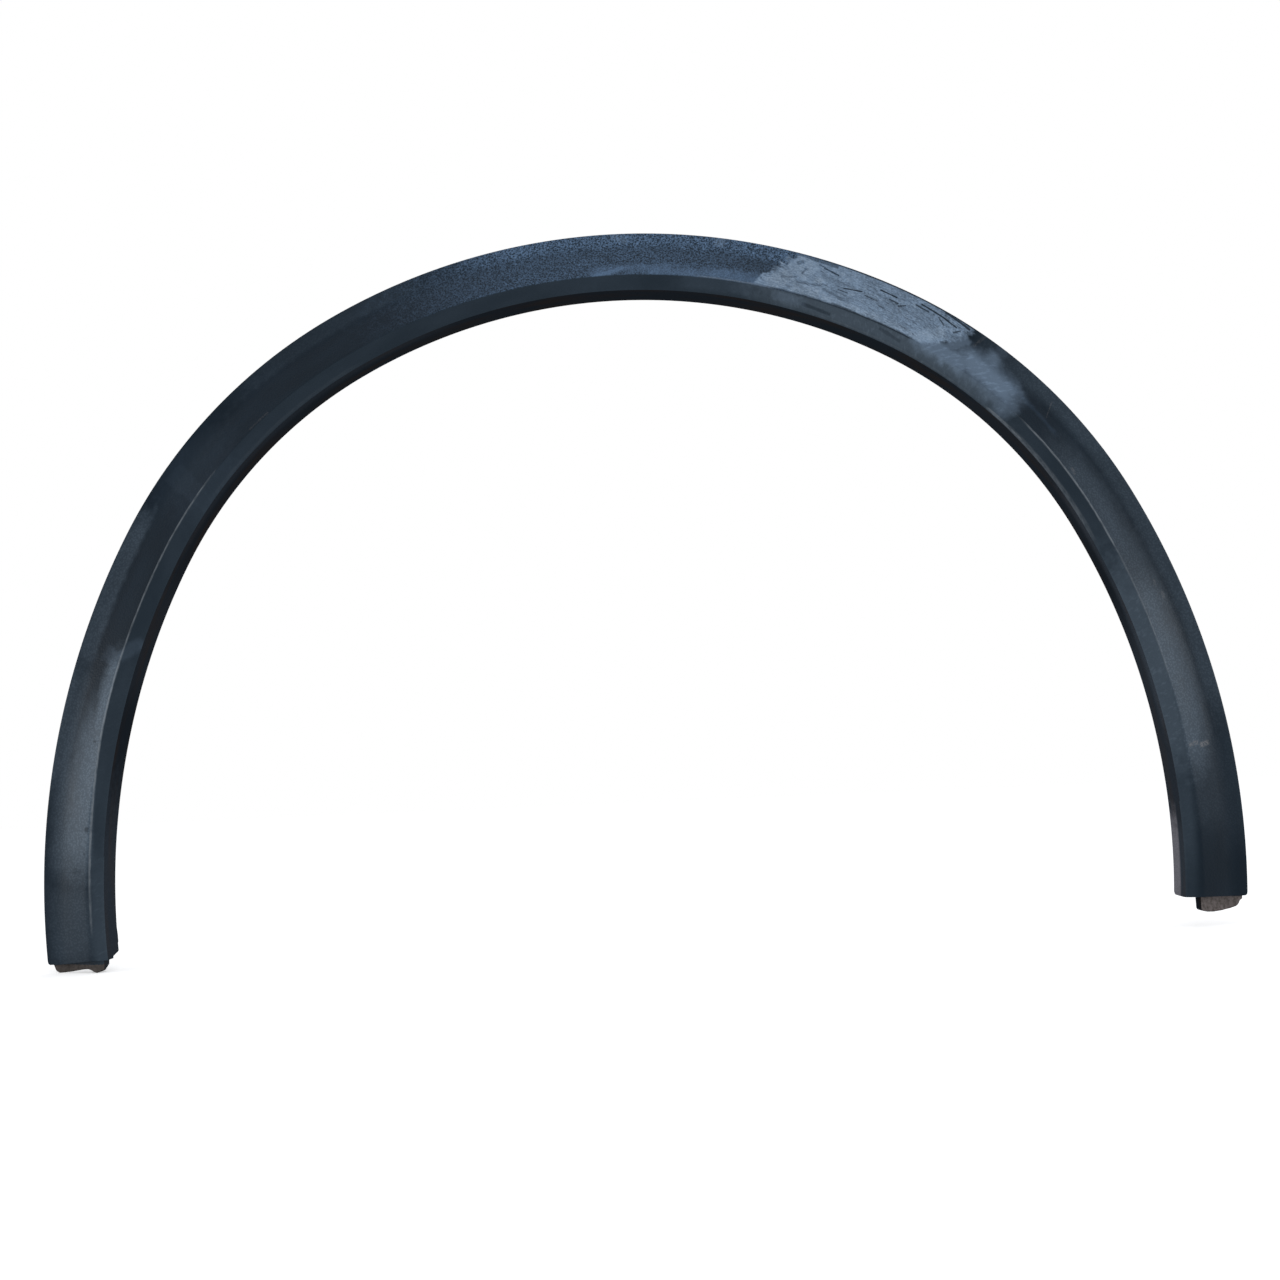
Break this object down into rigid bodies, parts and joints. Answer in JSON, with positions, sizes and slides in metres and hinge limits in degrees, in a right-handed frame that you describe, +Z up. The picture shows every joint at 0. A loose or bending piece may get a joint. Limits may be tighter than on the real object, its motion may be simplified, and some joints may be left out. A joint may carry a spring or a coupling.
{
  "type": "wheel arch trim",
  "caption": "Arched moulded plastic lip with a creased grained face and a return flange, clipped round the edge of a car's wheel opening.",
  "frame": {"origin": "root of the locating pin at the top of the arch, in the plane of the body panel", "axes": "+X along the car, to the right as seen from outside; +Y into the car, square to the body panel; +Z up"},
  "size_m": [0.8998, 0.0349, 0.552],
  "materials": {
    "textured_plastic": "grained blue-black moulded plastic, dusty and scuffed",
    "clip_nylon": "natural off-white nylon"
  },
  "bodies": {
    "root": {"arch_moulding": "textured_plastic", "push_clips": "clip_nylon"}
  },
  "joints": []
}
